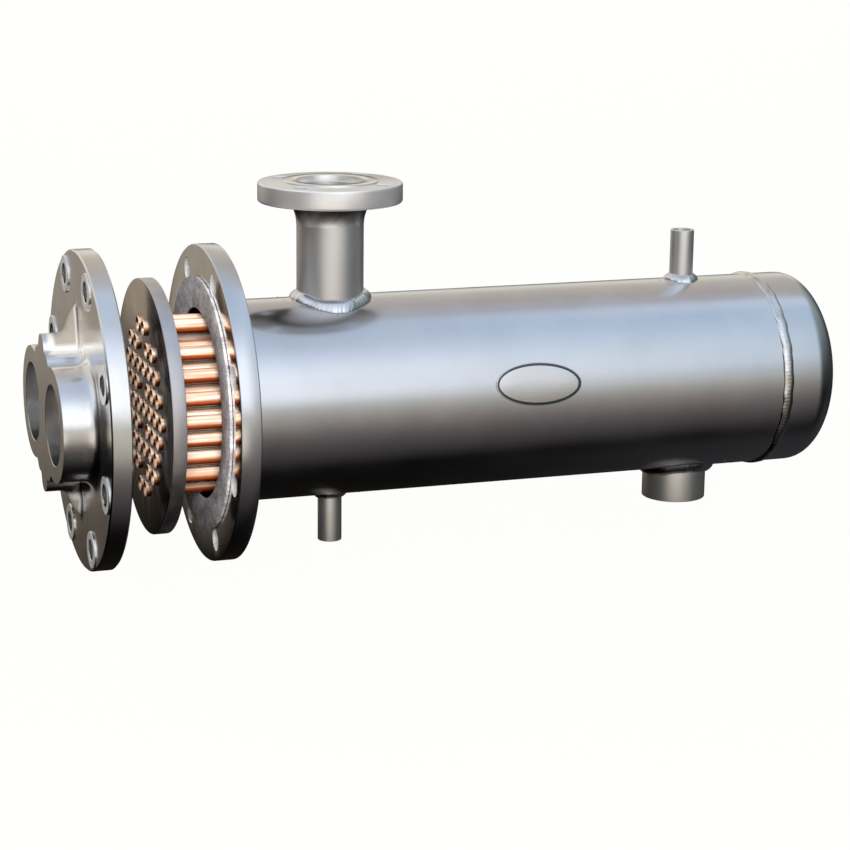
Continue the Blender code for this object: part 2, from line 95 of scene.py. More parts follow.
def softZone(add, edges):
    # 1 where every reading has gone all the way from its start to its end, and soft at the edges
    zone = None
    for reading, start, end in edges:
        share = add("MapRange", {0: reading, 1: start, 2: end}, interpolation_type="SMOOTHSTEP")
        zone = add("Math", {0: zone, 1: share}, operation="MULTIPLY") if zone else share
    return zone


def startMaterial(name, metallic, roughness, patterns=None):
    # each pattern is a noise: its size in millimetres, or three sizes where it is stretched, and its detail
    material = bpy.data.materials.new(name)
    material.use_nodes = True
    shader = material.node_tree.nodes["Principled BSDF"]
    setInputs(shader, {"Metallic": metallic, "Roughness": roughness})
    add = partial(addNode, material.node_tree)
    coords = add("TexCoord").outputs["Object"]
    maps = {"coords": coords}
    for pattern, (size, detail) in (patterns or {}).items():
        inputs = {"Vector": coords, "Detail": detail}
        if isinstance(size, tuple):
            inputs["Vector"] = add("Mapping", {"Vector": coords, "Scale": [perMm(k) for k in size]})
        inputs["Scale"] = 1 if isinstance(size, tuple) else perMm(size)
        maps[pattern] = add("TexNoise", inputs)
    return material, add, shader, maps


# Materials

silverPaint = {
    "patterns": {"cloud": (70, 4), "flake": (0.9, 1), "rub": ((45, 0.8, 0.8), 2), "peel": (3.0, 2)},
    "flakeShare": 0.25, "rubbed": (0.62, 0.78), "rubDull": 0.03,
    "peelBump": {"Strength": 0.03, "Distance": 0.2 * mm},
}


def makeSilverPaint(name, light, dark, metallic, smooth, dull):
    # aluminium-flake paint sprayed on pipe steel: a satin mirror with a faint cloud, rub marks and flakes,
    # which are drawn coarse enough to show
    p = silverPaint
    material, add, shader, maps = startMaterial(name, metallic, smooth, p["patterns"])
    both = add("Math", {0: maps["flake"], 1: p["flakeShare"], 2: maps["cloud"]}, operation="MULTIPLY_ADD")
    tint = add("ValToRGB", {"Fac": both}, [(0.35, dark), (0.85, light)])
    faint, full = p["rubbed"]
    marks = add("MapRange", {0: maps["rub"], 1: faint, 2: full, 3: 0.0, 4: p["rubDull"]})
    worn = add("MapRange", {0: maps["cloud"], **noiseSpan, 3: smooth, 4: dull})
    rough = add("Math", {0: worn, 1: marks}, operation="ADD")
    bump = add("Bump", {"Height": maps["peel"], **p["peelBump"]})
    setInputs(shader, {"Base Color": tint, "Roughness": rough, "Normal": bump})
    return material


castPaint = {
    "patterns": {"cloud": (60, 5), "sand": (1.8, 3), "lump": (11, 1)}, "light": "#f3f2f2", "dark": "#e3e0dc",
    "sandBump": {"Strength": 0.04, "Distance": 0.3 * mm},
    "lumpBump": {"Strength": 0.05, "Distance": 1.0 * mm},
    "smooth": 0.16, "dull": 0.25,
    # the brushed zone in millimetres: height from a level below the axis, and distance ahead of the flange
    "brush": [("height", 74, 88), ("ahead", 0.5, 5), ("ahead", 36, 24)], "level": -10 * mm,
    "brushMetal": 0.25, "brushRough": 0.36, "brushTint": "#746f67",
}


def makeCastPaint():
    # silver paint on a sand casting: softer shine, grain from the sand and shallow lumps
    p = castPaint
    material, add, shader, maps = startMaterial("silverPaintedCasting", 1.0, p["smooth"], p["patterns"])
    tint = add("ValToRGB", {"Fac": maps["cloud"]}, [(0.3, p["dark"]), (0.7, p["light"])])
    satin = add("MapRange", {0: maps["sand"], **noiseSpan, 3: p["smooth"], 4: p["dull"]})
    # the tongues are thickly brushed and dull, and the upper one is dull nearer to the bar than the lower one
    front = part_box("bonnet_casting")[1].x - bonnetThickness
    place = add("SeparateXYZ", {"Vector": maps["coords"]}).outputs
    raised = add("Math", {0: place["Z"], 1: p["level"]}, operation="SUBTRACT")
    readings = {"height": add("Math", {0: raised}, operation="ABSOLUTE"),
                "ahead": add("Math", {0: front, 1: place["X"]}, operation="SUBTRACT")}
    brushed = softZone(add, [(readings[name], near * mm, far * mm) for name, near, far in p["brush"]])
    metal = add("MapRange", {0: brushed, 3: 1.0, 4: p["brushMetal"]})
    coat = add("Mix", {"Factor": brushed, "A": tint, "B": hexColour(p["brushTint"])}, **multiply)
    rough = add("Math", {0: brushed, 1: p["brushRough"], 2: satin}, operation="MULTIPLY_ADD")
    fine = add("Bump", {"Height": maps["sand"], **p["sandBump"]})
    broad = add("Bump", {"Height": maps["lump"], "Normal": fine, **p["lumpBump"]})
    setInputs(shader, {"Base Color": coat, "Metallic": metal, "Roughness": rough, "Normal": broad})
    return material


turnedSteel = {
    "patterns": {"stain": (28, 4)}, "smooth": 0.8, "dull": 1.3, "oilRagged": 14 * mm,
    "ringDetail": 2, "ringShare": 0.4, "ringBump": {"Strength": 0.06, "Distance": 0.15 * mm},
}


def makeTurnedSteel(name, light, dark, metallic, roughness, along, pitch, lowShade=None):
    # steel faced in a lathe: fine rings round the axis, drawn coarse enough to show, and, where asked,
    # painted shade low down
    p = turnedSteel
    material, add, shader, maps = startMaterial(name, metallic, roughness, p["patterns"])
    stain = maps["stain"]
    place = add("SeparateXYZ", {"Vector": maps["coords"]}).outputs
    squares = [add("Math", {0: place[k], 1: 2.0}, operation="POWER") for k in "XYZ" if k != along]
    total = add("Math", dict(enumerate(squares)), operation="ADD")
    radius = add("Math", {0: total, 1: 0.5}, operation="POWER")
    spread = add("CombineXYZ", {"X": radius, "Y": place[along]})
    rings = add("TexNoise", {"Vector": spread, "Scale": perMm(pitch), "Detail": p["ringDetail"]})
    mixed = add("Math", {0: rings, 1: p["ringShare"], 2: stain}, operation="MULTIPLY_ADD")
    tint = add("ValToRGB", {"Fac": mixed}, [(0.45, dark), (0.95, light)])
    # painted shade: below a ragged level the colour is multiplied darker, standing in for shade and dark
    # reflections
    if lowShade:
        deep, clear, lowShadeColour = lowShade
        ragged = add("Math", {0: stain, 1: p["oilRagged"], 2: place["Z"]}, operation="MULTIPLY_ADD")
        shadeFade = add("MapRange", {0: ragged, 1: deep * mm, 2: clear * mm})
        paintedShade = add("ValToRGB", {"Fac": shadeFade}, [(0.0, lowShadeColour), (1.0, "#ffffff")])
        tint = add("Mix", {"Factor": 1.0, "A": tint, "B": paintedShade}, **multiply)
    rough = add("MapRange", {0: stain, **noiseSpan, 3: roughness * p["smooth"], 4: roughness * p["dull"]})
    bump = add("Bump", {"Height": rings, **p["ringBump"]})
    setInputs(shader, {"Base Color": tint, "Roughness": rough, "Normal": bump})
    return material


copper = {
    "patterns": {"streak": ((80, 3, 3), 3), "patch": (22, 4)}, "smooth": 0.16, "dull": 0.28,
    "grain": [(0.4, "#cdb6a6"), (0.7, "#ffffff")],
    # painted light, shade and reflection, from facing down to facing up: dark and orange below, pale with
    # painted highlights above
    "leg": [(0.0, "#521e0a"), (1.0, "#ffd9bc"), (0.26, "#803716"), (0.42, "#b46131"), (0.58, "#ffe2cc"),
            (0.8, "#fff2e6")],
    "end": [(0.0, "#26110a"), (1.0, "#f0cba0"), (0.3, "#47230f"), (0.46, "#8e5a38"), (0.54, "#c99a76"),
            (0.66, "#fff0dc"), (0.82, "#fff8f0")],
}


def makeCopper(name, shadeRamp, metallic):
    # drawn copper tube with painted light and shade: pale with painted highlights where it faces up, orange
    # to brown underneath, with long streaks
    p = copper
    material, add, shader, maps = startMaterial(name, metallic, p["smooth"], p["patterns"])
    # painted light and shade: the colour follows which way the surface faces
    facing = add("SeparateXYZ", {"Vector": add("NewGeometry").outputs["Normal"]}).outputs
    height = add("MapRange", {0: facing["Z"], 1: -1.0, 2: 1.0, 3: 0.0, 4: 1.0})
    turned = add("ValToRGB", {"Fac": height}, p[shadeRamp])
    grain = add("ValToRGB", {"Fac": maps["streak"]}, p["grain"])
    tint = add("Mix", {"Factor": 1.0, "A": turned, "B": grain}, **multiply)
    rough = add("MapRange", {0: maps["patch"], **noiseSpan, 3: p["smooth"], 4: p["dull"]})
    setInputs(shader, {"Base Color": tint, "Roughness": rough})
    return material


fibre = {
    "patterns": {"fleck": (2.2, 4), "cloud": (14, 2)}, "cloudShare": 0.5, "fleckGrain": 0.7,
    "fleckBump": {"Strength": 0.35, "Distance": 0.3 * mm}, "light": "#9e9a9b", "mid": "#797576",
    "dark": "#4d494a", "dry": -70 * mm, "soaked": -135 * mm, "soakedShade": 0.17,
}


def makeFibre():
    # pressed fibre gasket: dull grey with pale and dark flecks, darker towards the bottom
    p = fibre
    material, add, shader, maps = startMaterial("pressedFibre", 0.0, 0.8, p["patterns"])
    fleck = maps["fleck"]
    setInputs(fleck, {"Roughness": p["fleckGrain"]})
    mixed = add("Math", {0: maps["cloud"], 1: p["cloudShare"], 2: fleck}, operation="MULTIPLY_ADD")
    place = add("SeparateXYZ", {"Vector": maps["coords"]}).outputs
    # the colour is made darker towards the bottom
    lowering = add("MapRange", {0: place["Z"], 1: p["dry"], 2: p["soaked"], 4: p["soakedShade"]})
    lowered = add("Math", {0: mixed, 1: lowering}, operation="SUBTRACT")
    tint = add("ValToRGB", {"Fac": lowered}, [(0.55, p["dark"]), (0.95, p["light"]), (0.75, p["mid"])])
    bump = add("Bump", {"Height": fleck, **p["fleckBump"]})
    setInputs(shader, {"Base Color": tint, "Normal": bump})
    return material


weldBead = {
    "patterns": {"patch": (16, 3), "grit": (1.4, 2)}, "gritBump": {"Strength": 0.08, "Distance": 0.3 * mm},
    "tints": [(0.3, "#c9cdd6"), (0.62, "#e6e6e8"), (0.42, "#dfdad2"), (0.5, "#e6e6e8")],
    "smooth": 0.14, "dull": 0.27,
}


def makeWeld():
    # brushed weld metal: bright ripples with straw and blue heat tints
    p = weldBead
    material, add, shader, maps = startMaterial("weldMetal", 1.0, p["smooth"], p["patterns"])
    tint = add("ValToRGB", {"Fac": maps["patch"]}, p["tints"])
    rough = add("MapRange", {0: maps["grit"], **noiseSpan, 3: p["smooth"], 4: p["dull"]})
    bump = add("Bump", {"Height": maps["grit"], **p["gritBump"]})
    setInputs(shader, {"Base Color": tint, "Roughness": rough, "Normal": bump})
    return material


brushedMetal = {"patterns": {"grain": ((30, 0.6, 0.6), 2)}, "smooth": 0.85, "dull": 1.2}


def makeBrushedMetal(name, light, dark, metallic, roughness):
    # drilled or rolled metal: nearly one colour, with soft brushing along the axis
    p = brushedMetal
    material, add, shader, maps = startMaterial(name, metallic, roughness, p["patterns"])
    grain = maps["grain"]
    tint = add("ValToRGB", {"Fac": grain}, [(0.3, dark), (0.7, light)])
    rough = add("MapRange", {0: grain, **noiseSpan, 3: roughness * p["smooth"], 4: roughness * p["dull"]})
    setInputs(shader, {"Base Color": tint, "Roughness": rough})
    return material


heatTintAndShade = {
    "patterns": {"patch": (9, 3)}, "ragged": 8 * mm, "reach": 20 * mm, "past": 4 * mm,
    "tints": [(0.1, "#e0e0e1"), (0.95, "#4a4138"), (0.6, "#7d7060")],
}


def makeHeatTintAndShade():
    # steel with the flange weld's heat tint and painted shade: dark brown under the flange, fading into the
    # bare pipe below
    p = heatTintAndShade
    material, add, shader, maps = startMaterial("heatTintedSteel", 0.95, 0.3, p["patterns"])
    place = add("SeparateXYZ", {"Vector": maps["coords"]}).outputs
    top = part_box("inlet_flange_weld")[1].z
    # painted shade and heat tint: darkest right under the flange
    ragged = add("Math", {0: maps["patch"], 1: p["ragged"], 2: place["Z"]}, operation="MULTIPLY_ADD")
    rise = add("MapRange", {0: ragged, 1: top - p["reach"], 2: top + p["past"], 3: 0.0, 4: 1.0})
    setInputs(shader, {"Base Color": add("ValToRGB", {"Fac": rise}, p["tints"])})
    return material


paint = makeSilverPaint("silverFlakePaint", "#e3e4e6", "#d6d8db", 1.0, 0.16, 0.25)
pipePaint = makeSilverPaint("satinPipePaint", "#ebe8e4", "#dbd8d4", 0.98, 0.36, 0.44)
rimPaint = makeSilverPaint("dullFlangePaint", "#eceae8", "#d6d4d2", 0.91, 0.28, 0.36)
casting = makeCastPaint()
weld = makeWeld()
# both copper finishes carry painted light and shade by facing
tubeCopper = makeCopper("drawnCopper", "leg", 0.6)
tubeEnd = makeCopper("rolledTubeEnd", "end", 0.72)
gasketFibre = makeFibre()
flangeFace = makeTurnedSteel("turnedFlangeSteel", "#f0eee8", "#d8d6d0", 1.0, 0.13, "X", 0.7)
spotFace = makeTurnedSteel("machinedSpotFace", "#f4f3f1", "#e2e1de", 0.6, 0.34, "X", 0.6)
drilled = makeBrushedMetal("drilledSteel", "#f4f3f2", "#d2d0ce", 0.8, 0.3)
# the tube sheet's face, also used inside the shell, has painted shade low down
sheetFace = makeTurnedSteel("brownTurnedSteel", "#f2e4d5", "#d2c3b4", 1.0, 0.15, "X", 0.9,
                            (70, 108, "#574f4a"))
sheetRim = makeTurnedSteel("turnedSheetRim", "#e0dbda", "#c8c3c2", 1.0, 0.4, "X", 0.6)
nozzleFace = makeTurnedSteel("turnedNozzleFace", "#f4f3ef", "#e2e0db", 1.0, 0.16, "Z", 0.8)
neckTintAndShade = makeHeatTintAndShade()
plateSilver = makeBrushedMetal("satinPlateAluminium", "#e8e6e4", "#dddbd9", 1.0, 0.26)
plateRim = makeBrushedMetal("darkenedRimMetal", "#63656b", "#4d4f54", 1.0, 0.3)
print("materials made")


# Shaping

joinWithin = 0.001 * mm
sharpAngle = 40


def discProfile(radius, low, high):
    return [(0, high), (radius, high), (radius, low), (0, low)]


def ringProfile(outer, inner, low, high):
    return [(outer, high), (outer, low), (inner, low), (inner, high)]


def sweep(start, end, steps):
    return [math.radians(start + (end - start) * k / steps) for k in range(steps + 1)]


def settle(bm, place):
    bmesh.ops.transform(bm, matrix=place, verts=bm.verts)
    bmesh.ops.recalc_face_normals(bm, faces=bm.faces)


def lathe(points, steps, place, closed=True):
    bm = bmesh.new()
    ring = [bm.verts.new((radius, 0, height)) for radius, height in points]
    edges = [bm.edges.new(pair) for pair in zip(ring, ring[1:])]
    if closed:
        edges.append(bm.edges.new((ring[-1], ring[0])))
    bmesh.ops.spin(bm, geom=ring + edges, cent=(0, 0, 0), axis=(0, 0, 1), angle=2 * math.pi,
                   steps=steps, use_merge=True)
    bmesh.ops.remove_doubles(bm, verts=bm.verts, dist=joinWithin)
    settle(bm, place)
    return bm


def chamferedHole(radius, low, high, chamfer, sides=32, past=4 * mm):
    # a drill with a countersink at each face, along its own Z
    wide = radius + chamfer + past
    points = [(0, high + past), (wide, high + past), (radius, high - chamfer), (radius, low + chamfer),
              (wide, low - past), (0, low - past)]
    return lathe(points, sides, upright, closed=False)


def sharpEdges(bm):
    return [e for e in bm.edges if e.calc_face_angle(0) > math.radians(sharpAngle)]


def soften(bm, width, segments=3, edges=None):
    # rounds the given edges, or else every sharp one
    bmesh.ops.bevel(bm, geom=edges or sharpEdges(bm), offset=width, offset_type="OFFSET", segments=segments,
                    profile=0.5, affect="EDGES", material=-1, clamp_overlap=True)


def extrudeLoop(bm, loop, shift):
    # pushes a loop of edges out by one ring, and gives the new points, edges and faces
    grown = bmesh.ops.extrude_edge_only(bm, edges=loop)["geom"]
    kinds = (bmesh.types.BMVert, bmesh.types.BMEdge, bmesh.types.BMFace)
    verts, edges, faces = ([g for g in grown if isinstance(g, kind)] for kind in kinds)
    bmesh.ops.translate(bm, vec=shift, verts=verts)
    return verts, edges, faces


def sliceOff(bm, point, outward):
    # cuts away what lies beyond a plane and closes the cut
    cut = bmesh.ops.bisect_plane(bm, geom=bm.verts[:] + bm.edges[:] + bm.faces[:], plane_co=point,
                                 plane_no=outward, clear_outer=True)["geom_cut"]
    bmesh.ops.holes_fill(bm, edges=[g for g in cut if isinstance(g, bmesh.types.BMEdge)])
    bmesh.ops.recalc_face_normals(bm, faces=bm.faces)


def gather(target, source, place):
    # adds a copy of one bmesh to another, moved into place
    mesh = bpy.data.meshes.new("gathered")
    source.to_mesh(mesh)
    mesh.transform(place)
    target.from_mesh(mesh)
    bpy.data.meshes.remove(mesh)


def makeObject(bm, name):
    mesh = bpy.data.meshes.new(name)
    bm.to_mesh(mesh)
    bm.free()
    made = bpy.data.objects.new(name, mesh)
    bpy.context.scene.collection.objects.link(made)
    return made


def applyModifiers(made):
    bpy.context.view_layer.update()
    graph = bpy.context.evaluated_depsgraph_get()
    old = made.data
    made.data = bpy.data.meshes.new_from_object(made.evaluated_get(graph))
    made.modifiers.clear()
    bpy.data.meshes.remove(old)


def carve(made, cutterMesh, operation="DIFFERENCE", solver="EXACT"):
    cutter = makeObject(cutterMesh, "cutter")
    boolean = made.modifiers.new("carve", "BOOLEAN")
    boolean.operation = operation
    boolean.solver = solver
    boolean.object = cutter
    applyModifiers(made)
    shape = cutter.data
    bpy.data.objects.remove(cutter)
    bpy.data.meshes.remove(shape)


def carveEach(made, shape, places, operation="DIFFERENCE", solver="EXACT"):
    # carves with a copy of one shape at every place
    copies = bmesh.new()
    for place in places:
        gather(copies, shape, place)
    shape.free()
    carve(made, copies, operation, solver)


def finishPiece(made, body, materials, nodes, angle=32, paintBy=None):
    mesh = made.data
    painted = [paintBy(f.center, f.normal) if paintBy else f.material_index for f in mesh.polygons]
    mesh.materials.clear()
    for material in materials:
        mesh.materials.append(material)
    mesh.polygons.foreach_set("material_index", painted)
    mesh.shade_smooth()
    mesh.set_sharp_from_angle(angle=math.radians(angle))
    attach(made, body)
    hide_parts(*nodes)


# Places read from the frame

def middle(node):
    low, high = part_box(node)
    return (low + high) / 2


def fromAxis(point):
    return math.hypot(point.y, point.z)


def nearest(point, places):
    return min(math.hypot(point.y - y, point.z - z) for y, z in places)


def boltPlaces(count, diameter):
    turns = [2 * math.pi * (k + 0.5) / count for k in range(count)]
    return [(diameter / 2 * math.cos(t), diameter / 2 * math.sin(t)) for t in turns]


def alongAt(places):
    return [Matrix.Translation((0, y, z)) @ alongX for y, z in places]


barrelLow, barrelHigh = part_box("shell_barrel")
shellRadius = barrelHigh.z
shellWall = 6.35 * mm
boreRadius = shellRadius - shellWall
flangeLow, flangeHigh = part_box("shell_flange")
flangeRadius = flangeHigh.z - 0.01 * mm
boltHole = 22.2 * mm
bolts = boltPlaces(8, 298.5 * mm)       # the shell flange and the bonnet share them


# Shell

barrelSettings = {"around": 160, "rings": 40, "boreSides": 64, "boreFrom": 0.6, "boreTo": 1.1}
nozzles = {
    "inlet": {"turn": upright, "outer": 36.5 * mm, "wall": 5.16 * mm, "bead": 9.0 * mm, "spatter": 14},
    "outlet": {"turn": upsideDown, "outer": 36.5 * mm, "wall": 5.16 * mm, "bead": 9.0 * mm, "spatter": 9},
    "vent": {"turn": upright, "outer": 13.35 * mm, "wall": 2.9 * mm, "bead": 6.5 * mm, "spatter": 8},
    "drain": {"turn": upsideDown, "outer": 13.35 * mm, "wall": 2.9 * mm, "bead": 6.5 * mm, "spatter": 6},
}


def nozzlePlace(name):
    return Matrix.Translation((middle(name + "_pipe").x, 0, 0)) @ nozzles[name]["turn"]


def buildBarrel():
    s = barrelSettings
    low, high = barrelLow.x, barrelHigh.x
    heights = [high + (low - high) * k / s["rings"] for k in range(s["rings"] + 1)]
    points = [(shellRadius, h) for h in heights] + [(boreRadius, low), (boreRadius, high)]
    made = makeObject(lathe(points, s["around"], alongX), "shellBarrel")
    drills = bmesh.new()
    for name, nozzle in nozzles.items():
        bore = nozzle["outer"] - nozzle["wall"]
        profile = discProfile(bore, shellRadius * s["boreFrom"], shellRadius * s["boreTo"])
        drill = lathe(profile, s["boreSides"], upright, closed=False)
        gather(drills, drill, nozzlePlace(name))
        drill.free()
    carve(made, drills)

    def bored(centre, normal):
        return int(fromAxis(centre) < boreRadius + slack)
    finishPiece(made, "shell", [paint, sheetFace], ["shell_barrel"], paintBy=bored)


flangeSettings = {"around": 160, "edge": 1.3 * mm, "holeChamfer": 1.0 * mm}


def buildShellFlange():
    s = flangeSettings
    low, high = flangeLow.x, flangeHigh.x
    bm = lathe(ringProfile(flangeRadius, shellRadius, low, high), s["around"], alongX)
    soften(bm, s["edge"])
    made = makeObject(bm, "shellFlange")
    carveEach(made, chamferedHole(boltHole / 2, low, high, s["holeChamfer"]), alongAt(bolts))

    def machined(centre, normal):
        if nearest(centre, bolts) < boltHole / 2 + slack:
            return 2
        return int(normal.x < -0.5 and fromAxis(centre) < flangeRadius - s["edge"])
    finishPiece(made, "shell", [paint, flangeFace, drilled], ["shell_flange"],
                paintBy=machined)


headSettings = {"around": 160, "dishSteps": 20, "fullness": 2.25, "straight": 38 * mm}


def buildHead():
    s = headSettings
    low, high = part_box("dished_head")
    skirt = low.x + s["straight"]
    depth = high.x - skirt
    power = 2 / s["fullness"]
    turns = sweep(0, 90, s["dishSteps"])
    outer, inner = ([(radius * math.sin(t) ** power, skirt + rise * math.cos(t) ** power) for t in turns]
                    for radius, rise in ((shellRadius, depth), (boreRadius, depth - shellWall)))
    points = outer + [(shellRadius, low.x), (boreRadius, low.x)] + inner[::-1]
    made = makeObject(lathe(points, s["around"], alongX, closed=False), "dishedHead")
    finishPiece(made, "shell", [paint], ["dished_head"])


rippleSettings = {"valley": 0.92, "rise": 0.08, "roundness": 0.7}


def rippleHeight(phase):
    # each ripple climbs and drops like a coin laid on the last one
    s = rippleSettings
    return s["valley"] + s["rise"] * math.sin(math.pi * (phase - math.floor(phase))) ** s["roundness"]


def noiseRound(turn, waves, level):
    # a noise that closes on itself round a ring
    return noise.noise(Vector((waves * math.cos(turn), waves * math.sin(turn), level)))


def liftBead(vert, lift):
    # draws a point of a bead on the shell nearer to the shell
    radius = fromAxis(vert.co)
    grown = (shellRadius + (radius - shellRadius) * lift) / radius
    vert.co.y *= grown
    vert.co.z *= grown


seamSettings = {
    "width": 12.5 * mm, "height": 2.6 * mm, "sink": 1 * mm, "ripple": 4.2 * mm, "perRipple": 5, "profile": 8,
    "curl": 0.5, "sway": 1.1 * mm, "swayWaves": 9, "level": 0.85, "uneven": 0.4, "unevenWaves": 5,
}


def buildSeam():
    s = seamSettings
    seam = middle("head_weld").x
    count = round(2 * math.pi * shellRadius / s["ripple"])
    half = s["width"] / 2
    root = shellRadius - s["sink"]
    points = [(shellRadius + s["height"] * math.sin(t), seam + half * math.cos(t))
              for t in sweep(0, 180, s["profile"])]
    bm = lathe(points + [(root, seam - half), (root, seam + half)], count * s["perRipple"], alongX)
    for vert in bm.verts:
        turn = math.atan2(vert.co.y, vert.co.z)
        if fromAxis(vert.co) > shellRadius:
            across = (vert.co.x - seam) / half
            lift = rippleHeight(count * turn / (2 * math.pi) + s["curl"] * across ** 2)
            lift *= s["level"] + s["uneven"] * noiseRound(turn, s["unevenWaves"], 3)
            liftBead(vert, min(lift, 1))
        vert.co.x += s["sway"] * noiseRound(turn, s["swayWaves"], 0)
    finishPiece(makeObject(bm, "headSeamWeld"), "shell", [weld], ["head_weld"], angle=60)


filletSettings = {
    "leg": 7 * mm, "sink": 1 * mm, "overlap": 0.5 * mm, "profile": 6, "ripple": 4.5 * mm, "perRipple": 5,
    "curl": 0.3, "level": 0.72,
}


def buildFlangeFillet():
    s = filletSettings
    back, root = flangeHigh.x, shellRadius - s["sink"]
    count = round(2 * math.pi * shellRadius / s["ripple"])
    points = [(shellRadius + s["leg"] * math.cos(t), back + s["leg"] * math.sin(t))
              for t in sweep(90, 0, s["profile"])]
    points += [(root, back - s["overlap"]), (root, back + s["leg"])]
    bm = lathe(points, count * s["perRipple"], alongX)
    for vert in bm.verts:
        reach = vert.co.x - back
        if fromAxis(vert.co) > shellRadius and reach > 0:
            turn = math.atan2(vert.co.y, vert.co.z)
            lift = s["level"] * rippleHeight(count * turn / (2 * math.pi) + s["curl"] * (reach / s["leg"]))
            liftBead(vert, lift)
            vert.co.x = back + reach * lift
    finishPiece(makeObject(bm, "flangeFilletWeld"), "shell", [weld], ["flange_weld"], angle=60)


pipeSettings = {"around": 80, "edge": 0.7 * mm, "sink": 1.0 * mm, "footFrom": 0.8}


def saddle(y):
    return math.sqrt(shellRadius ** 2 - y ** 2)


def buildPipe(name):
    s, nozzle = pipeSettings, nozzles[name]
    low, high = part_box(name + "_pipe")
    top = max(abs(low.z), abs(high.z))
    foot = shellRadius * s["footFrom"]          # then brought up to the shell
    wall = ringProfile(nozzle["outer"], nozzle["outer"] - nozzle["wall"], foot, top)
    bm = lathe(wall, s["around"], upright)
    soften(bm, s["edge"], edges=[e for e in sharpEdges(bm) if all(v.co.z > top - slack for v in e.verts)])
    for vert in bm.verts:
        if vert.co.z < foot + slack:
            vert.co.z = saddle(vert.co.y) - s["sink"]
    settle(bm, nozzlePlace(name))
    finishPiece(makeObject(bm, name + "Pipe"), "shell", [pipePaint], [name + "_pipe"])


footWeldSettings = {
    "sink": 1 * mm, "below": 1.5 * mm, "profile": 8, "hollow": 1.3, "ripple": 4.5 * mm, "perRipple": 6,
    "curl": 0.6, "wander": 1.4, "wanderWaves": 6, "level": 0.36, "rippled": 0.6, "uneven": 0.17,
    "unevenWaves": 3,
}


def buildNozzleWeld(name):
    s, nozzle = footWeldSettings, nozzles[name]
    bead, outer = nozzle["bead"], nozzle["outer"]
    count = round(2 * math.pi * (outer + bead / 2) / s["ripple"])
    points = [(outer + bead * math.cos(t) ** s["hollow"], bead * math.sin(t) ** s["hollow"])
              for t in sweep(90, 0, s["profile"])]
    points += [(outer - s["sink"], -s["below"]), (outer - s["sink"], bead)]
    bm = lathe(points, count * s["perRipple"], upright)
    seed = outer * 50               # each size of pipe gets its own unevenness
    for vert in bm.verts:
        reach = math.hypot(vert.co.x, vert.co.y) - outer
        height = vert.co.z
        if reach > 0 and height > -slack:
            turn = math.atan2(vert.co.y, vert.co.x)
            phase = count * turn / (2 * math.pi) + s["curl"] * (reach / bead)
            phase += s["wander"] * noiseRound(turn, s["wanderWaves"], 2 * seed)
            lift = s["level"] + s["rippled"] * rippleHeight(phase)
            lift += s["uneven"] * noiseRound(turn, s["unevenWaves"], seed)
            grown = (outer + reach * lift) / (outer + reach)
            vert.co.x *= grown
            vert.co.y *= grown
            height *= lift
        vert.co.z = saddle(vert.co.y) + height
    settle(bm, nozzlePlace(name))
    finishPiece(makeObject(bm, name + "FootWeld"), "shell", [weld], [name + "_weld"], angle=60)


inletSettings = {
    "boltCircle": 127 * mm, "boltHole": 16 * mm, "holeChamfer": 0.8 * mm, "raised": 1.6 * mm,
    "raisedRadius": 52 * mm, "rim": 2.6 * mm, "edge": 0.5 * mm, "around": 128,
}


def buildInletFlange():
    s = inletSettings
    low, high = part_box("inlet_flange")
    outer = (high.x - low.x) / 2
    bore = nozzles["inlet"]["outer"]
    face = high.z - s["raised"]
    station = middle("inlet_flange").x
    place = Matrix.Translation((station, 0, 0))

    def fromPipe(point):
        return math.hypot(point.x - station, point.y)
    bm = lathe([(s["raisedRadius"], high.z), (s["raisedRadius"], face), (outer, face), (outer, low.z),
                (bore, low.z), (bore, high.z)], s["around"], place)
    rim = [e for e in sharpEdges(bm) if fromPipe(e.verts[0].co) > outer - slack]
    soften(bm, s["rim"], segments=4, edges=rim)
    soften(bm, s["edge"], segments=2)
    made = makeObject(bm, "inletFlange")
    drill = chamferedHole(s["boltHole"] / 2, low.z, face, s["holeChamfer"])
    carveEach(made, drill, [place @ Matrix.Translation((x, y, 0)) for x, y in boltPlaces(4, s["boltCircle"])])

    def topSide(centre, normal):
        return int(normal.z > 0.9 and fromPipe(centre) < s["raisedRadius"])
    finishPiece(made, "shell", [rimPaint, nozzleFace], ["inlet_flange"], paintBy=topSide)


neckSettings = {
    "width": 8 * mm, "height": 24 * mm, "skin": 0.2 * mm, "sink": 0.5 * mm, "steps": 14, "around": 128,
}


def buildInletNeck():
    s = neckSettings
    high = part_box("inlet_flange_weld")[1].z
    top, low = high + s["skin"], high - s["height"]
    outer = nozzles["inlet"]["outer"]
    shares = [k / s["steps"] for k in range(s["steps"] + 1)]
    points = [(outer + s["skin"] + s["width"] * (1 - t) ** 2, high - s["height"] * t) for t in shares]
    points += [(outer - s["sink"], low), (outer - s["sink"], top), (outer + s["width"], top)]
    bm = lathe(points, s["around"], Matrix.Translation((middle("inlet_flange_weld").x, 0, 0)))
    finishPiece(makeObject(bm, "inletNeckWeld"), "shell", [neckTintAndShade], ["inlet_flange_weld"])


gasketSettings = {"around": 160, "edge": 0.5 * mm}


def buildShellGasket():
    low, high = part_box("shell_gasket")
    bm = lathe(ringProfile(high.z, boreRadius, low.x, high.x), gasketSettings["around"], alongX)
    soften(bm, gasketSettings["edge"], segments=2)
    finishPiece(makeObject(bm, "shellGasket"), "shell", [gasketFibre], ["shell_gasket"])


plateSettings = {
    "length": 99 * mm, "height": 47 * mm, "angle": 11.6, "turn": -2.0, "around": 96,
    # rings from the edge to the middle, in millimetres: in from the edge, and off the shell
    "rings": [(0, 0.2), (0, 1.0), (0.27, 1.35), (0.9, 1.5), (3.2, 1.5), (3.6, 1.0), (6, 1.1), (10, 1.2),
              (14, 1.28), (18, 1.33), (21.5, 1.36)],
    "darkRings": (3.2, 3.6),
}


